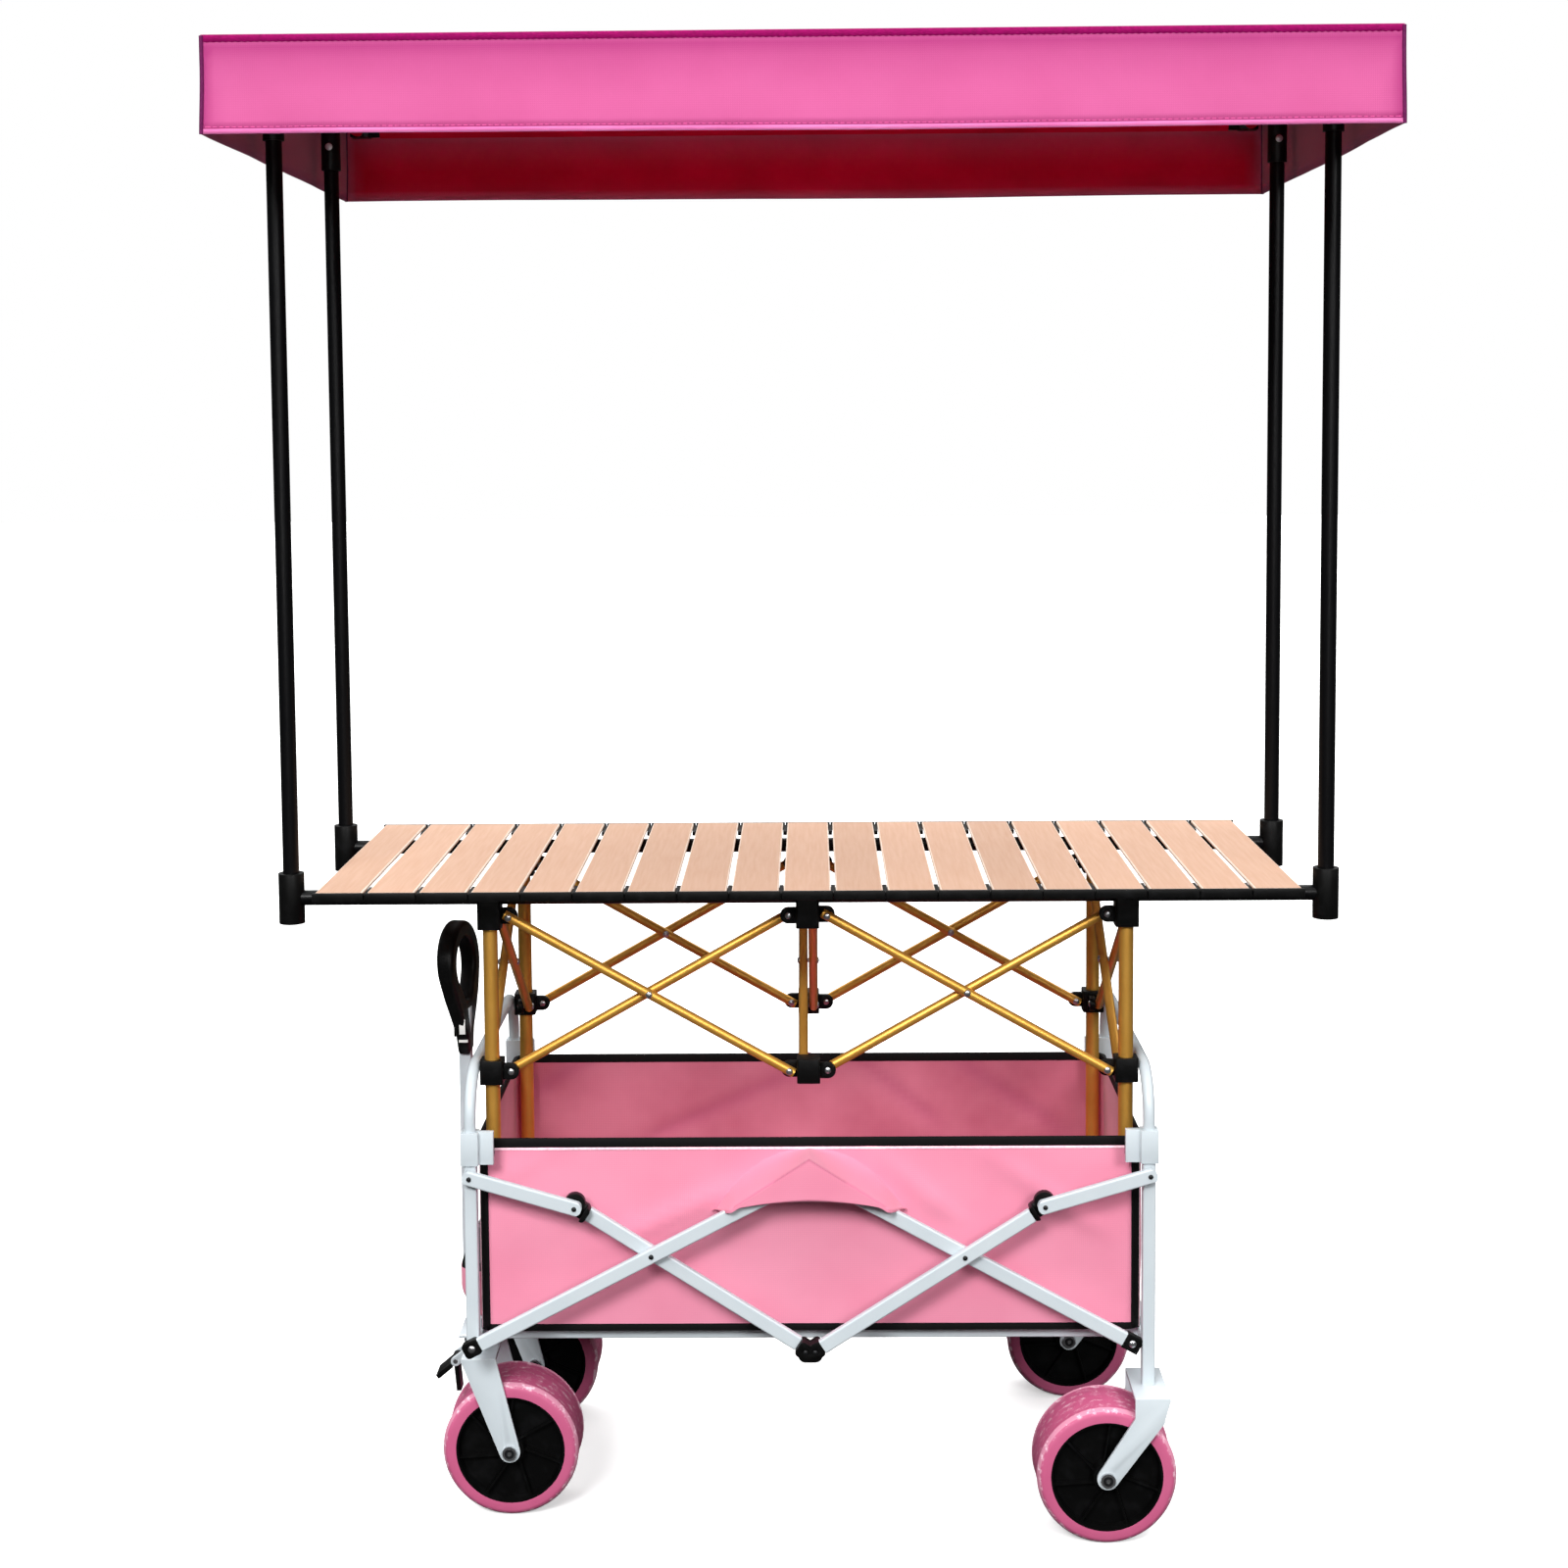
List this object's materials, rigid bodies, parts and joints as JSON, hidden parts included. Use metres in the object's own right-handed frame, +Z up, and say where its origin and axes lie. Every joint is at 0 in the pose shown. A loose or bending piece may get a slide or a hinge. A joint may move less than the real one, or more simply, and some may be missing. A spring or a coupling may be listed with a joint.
{
  "type": "food cart",
  "caption": "Folding wagon with a fabric basket that carries a slatted table on a scissor frame, with a fabric canopy on poles above it.",
  "frame": {"origin": "on the floor under the middle of the cart", "axes": "+Z up, +X along the cart away from the pull handle, -Y towards the customer"},
  "size_m": [1.336, 0.834, 1.817],
  "materials": {
    "canopy_cloth": "woven polyester with a soft sheen",
    "basket_cloth": "heavy woven polyester",
    "pouch_cloth": "woven polyester with a mesh top",
    "webbing": "woven strap with a moulded buckle",
    "floor_cloth": "cloth-covered stiff board",
    "white_frame": "white powder coat on steel tube",
    "gold_frame": "gold anodised tube",
    "black_tube": "satin black coated tube",
    "black_plastic": "moulded nylon",
    "black_grip": "moulded grip with a fine grain",
    "slat_wood": "clear lacquered beech",
    "pink_tyre": "moulded tread, matt",
    "hub_plastic": "moulded wheel hub",
    "steel": "zinc plated"
  },
  "bodies": {
    "wagon": {"left_end_frame": "white_frame", "right_end_frame": "white_frame", "end_bars": "white_frame", "collars": "white_frame", "floor_rails": "white_frame", "rising_braces": "white_frame", "falling_braces": "white_frame", "brace_links": "white_frame", "brace_elbows": "black_plastic", "post_brackets": "black_plastic", "brace_hubs": "black_plastic", "brace_rivets": "steel", "basket": "basket_cloth", "floor_board": "floor_cloth", "basket_hooks": "black_plastic", "hub_flaps": "basket_cloth", "end_pouch": "pouch_cloth", "pouch_strap": "webbing", "fixed_forks": "white_frame", "fixed_axles": "steel", "caster_mounts": "white_frame", "king_pins": "steel", "handle_bracket": "white_frame", "handle_pin": "steel"},
    "table": {"slats": "slat_wood", "slat_caps": "black_plastic", "slat_links": "black_plastic", "table_rails": "black_tube", "pole_sockets": "black_plastic", "table_legs": "gold_frame", "leg_feet": "black_plastic", "long_scissors": "gold_frame", "short_scissors": "gold_frame", "middle_scissors": "gold_frame", "table_top_hubs": "black_plastic", "leg_sliders": "black_plastic", "centre_hubs": "black_plastic", "table_rivets": "steel"},
    "canopy": {"poles": "black_tube", "roof_fittings": "black_plastic", "sleeve_rivets": "steel", "roof_rails": "black_tube", "canopy_cover": "canopy_cloth"},
    "handle": {"handle_tube": "white_frame", "handle_grip": "black_grip", "handle_latch": "black_plastic"},
    "caster_front": {"caster_fork_front": "white_frame", "caster_pins_front": "steel"},
    "brake_front": {"brake_pedal_front": "black_plastic"},
    "caster_rear": {"caster_fork_rear": "white_frame", "caster_pins_rear": "steel"},
    "brake_rear": {"brake_pedal_rear": "black_plastic"},
    "wheel_left_front": {"tyre_left_front": "pink_tyre", "hub_left_front": "hub_plastic"},
    "wheel_left_rear": {"tyre_left_rear": "pink_tyre", "hub_left_rear": "hub_plastic"},
    "wheel_right_front": {"tyre_right_front": "pink_tyre", "hub_right_front": "hub_plastic"},
    "wheel_right_rear": {"tyre_right_rear": "pink_tyre", "hub_right_rear": "hub_plastic"}
  },
  "joints": [
    {"name": "caster_swivel_front", "type": "hinge", "parent": "wagon", "child": "caster_front", "pos_m": [-0.419, -0.14, 0.2], "axis": [0, 0, 1], "continuous": true},
    {"name": "wheel_spin_left_front", "type": "hinge", "parent": "caster_front", "child": "wheel_left_front", "pos_m": [-0.381, -0.14, 0.086], "axis": [0, 1, 0], "continuous": true},
    {"name": "brake_press_front", "type": "hinge", "parent": "caster_front", "child": "brake_front", "pos_m": [-0.453, -0.14, 0.1907], "axis": [0, 1, 0], "range_deg": [-12, 0]},
    {"name": "wheel_spin_right_front", "type": "hinge", "parent": "wagon", "child": "wheel_right_front", "pos_m": [0.364, -0.222, 0.086], "axis": [0, 1, 0], "continuous": true},
    {"name": "caster_swivel_rear", "type": "hinge", "parent": "wagon", "child": "caster_rear", "pos_m": [-0.419, 0.14, 0.2], "axis": [0, 0, 1], "continuous": true},
    {"name": "wheel_spin_left_rear", "type": "hinge", "parent": "caster_rear", "child": "wheel_left_rear", "pos_m": [-0.381, 0.14, 0.086], "axis": [0, 1, 0], "continuous": true},
    {"name": "brake_press_rear", "type": "hinge", "parent": "caster_rear", "child": "brake_rear", "pos_m": [-0.453, 0.14, 0.1907], "axis": [0, 1, 0], "range_deg": [-12, 0]},
    {"name": "wheel_spin_right_rear", "type": "hinge", "parent": "wagon", "child": "wheel_right_rear", "pos_m": [0.364, 0.222, 0.086], "axis": [0, 1, 0], "continuous": true},
    {"name": "handle_swing", "type": "hinge", "parent": "wagon", "child": "handle", "pos_m": [-0.455, 0, 0.24], "axis": [0, -1, 0], "range_deg": [0, 100]},
    {"name": "table_lift", "type": "slide", "parent": "wagon", "child": "table", "axis": [0, 0, 1], "range_m": [0, 0.26]},
    {"name": "canopy_lift", "type": "slide", "parent": "table", "child": "canopy", "axis": [0, 0, 1], "range_m": [0, 0.06]}
  ]
}
